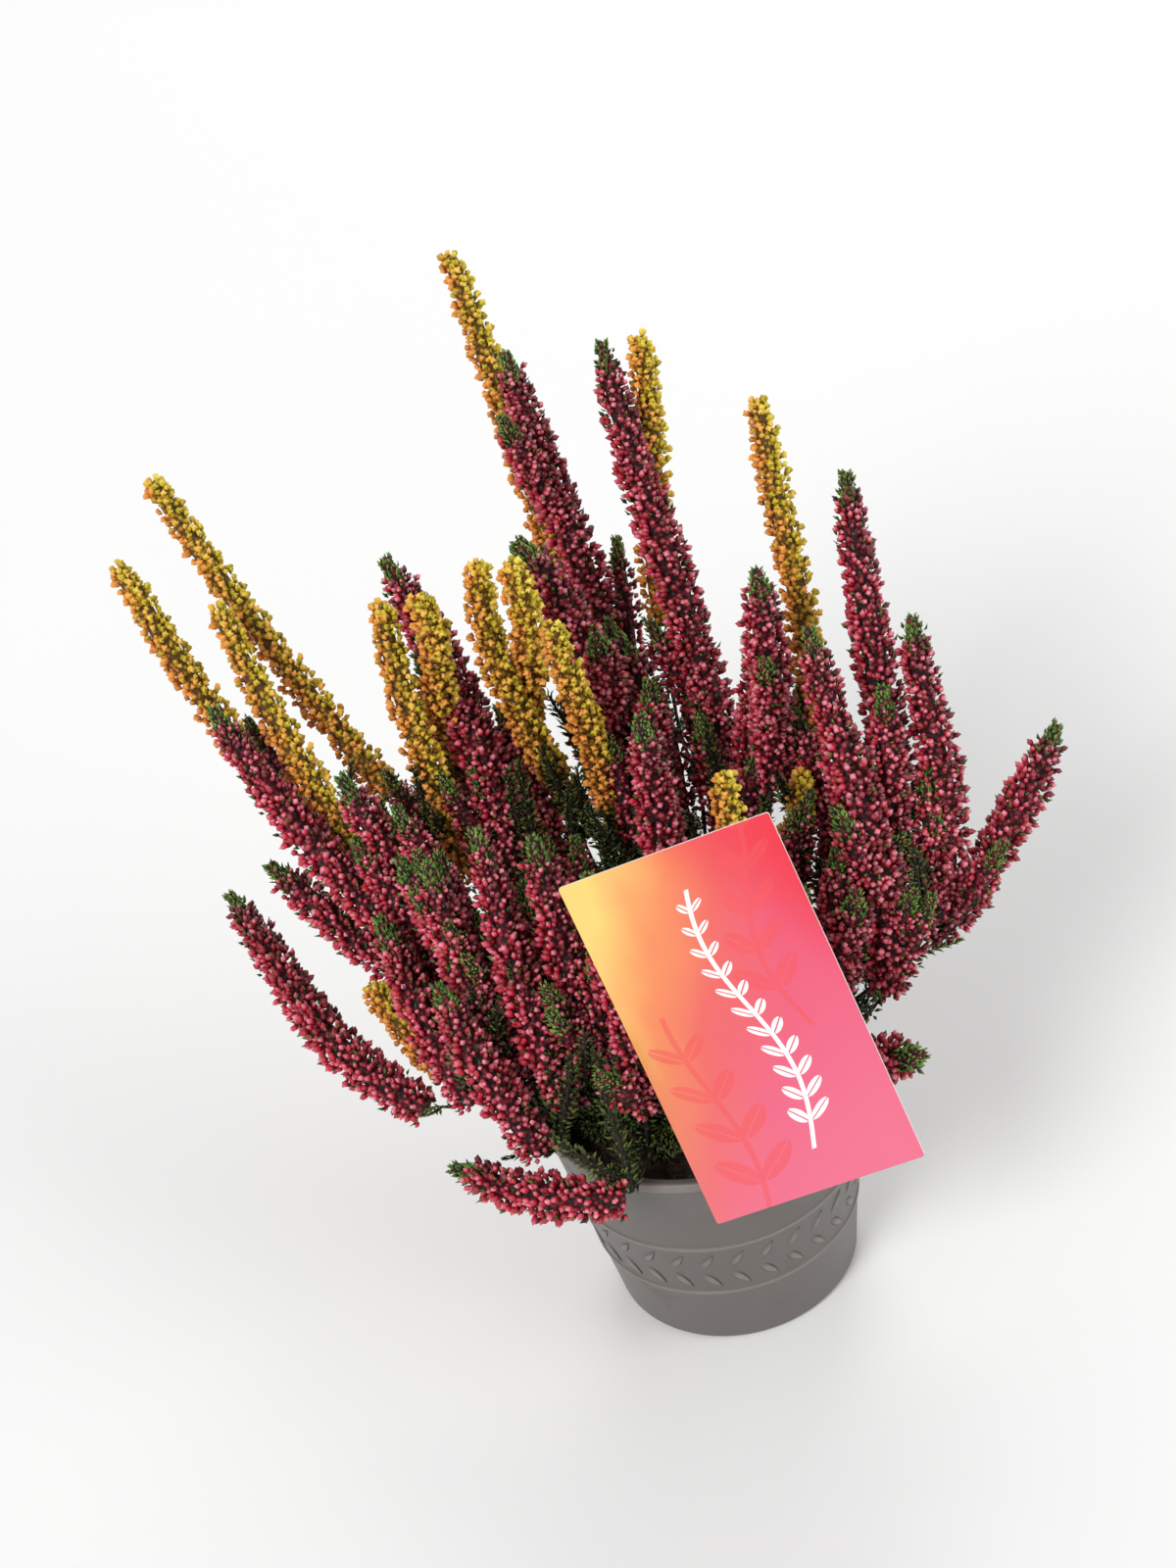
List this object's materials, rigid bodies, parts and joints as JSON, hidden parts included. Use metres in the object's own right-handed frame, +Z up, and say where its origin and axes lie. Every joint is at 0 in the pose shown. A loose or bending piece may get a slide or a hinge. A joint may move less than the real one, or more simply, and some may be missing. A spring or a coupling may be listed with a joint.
{
  "type": "potted heather",
  "caption": "Tapered plastic pot of peat with a bushy heather of crimson bud spikes and gold foliage shoots, and a plain picture card on a stake.",
  "frame": {"origin": "centre of the pot's underside, on the plane it stands on", "axes": "+Z up, -Y towards the front where the picture card stands, +X to the right seen from the front"},
  "size_m": [0.2876, 0.2397, 0.3012],
  "materials": {
    "crimson_bud": "dense matt crimson flower buds, green leafy at the tips",
    "gold_leaf": "matt yellow-gold scale leaves, orange on the sunny side",
    "leafy_stem": "brown woody stems with small dark green leaves",
    "pot_plastic": "satin taupe-grey moulded polypropylene",
    "peat": "dark crumbly peat",
    "card_print": "printed card, satin, coral pink to yellow",
    "stake_plastic": "plain pale plastic"
  },
  "bodies": {
    "root": {"crimson_01": "crimson_bud", "crimson_02": "crimson_bud", "crimson_03": "crimson_bud", "crimson_04": "crimson_bud", "crimson_05": "crimson_bud", "crimson_06": "crimson_bud", "crimson_07": "crimson_bud", "crimson_08": "crimson_bud", "crimson_09": "crimson_bud", "crimson_10": "crimson_bud", "crimson_11": "crimson_bud", "crimson_12": "crimson_bud", "crimson_13": "crimson_bud", "crimson_14": "crimson_bud", "crimson_15": "crimson_bud", "crimson_16": "crimson_bud", "crimson_17": "crimson_bud", "crimson_18": "crimson_bud", "crimson_19": "crimson_bud", "crimson_20": "crimson_bud", "crimson_21": "crimson_bud", "crimson_22": "crimson_bud", "crimson_23": "crimson_bud", "crimson_24": "crimson_bud", "crimson_25": "crimson_bud", "crimson_26": "crimson_bud", "crimson_27": "crimson_bud", "crimson_28": "crimson_bud", "crimson_29": "crimson_bud", "crimson_30": "crimson_bud", "gold_01": "gold_leaf", "gold_02": "gold_leaf", "gold_03": "gold_leaf", "gold_04": "gold_leaf", "gold_05": "gold_leaf", "gold_06": "gold_leaf", "gold_07": "gold_leaf", "gold_08": "gold_leaf", "gold_09": "gold_leaf", "gold_10": "gold_leaf", "gold_11": "gold_leaf", "gold_12": "gold_leaf", "gold_13": "gold_leaf", "gold_14": "gold_leaf", "label_card": "card_print", "label_stake": "stake_plastic", "plant_1": "leafy_stem", "plant_2": "leafy_stem", "plant_3": "leafy_stem", "plant_4": "leafy_stem", "plant_5": "leafy_stem", "plant_6": "leafy_stem", "plant_7": "leafy_stem", "plant_8": "leafy_stem", "pot": "pot_plastic", "soil": "peat"}
  },
  "joints": []
}
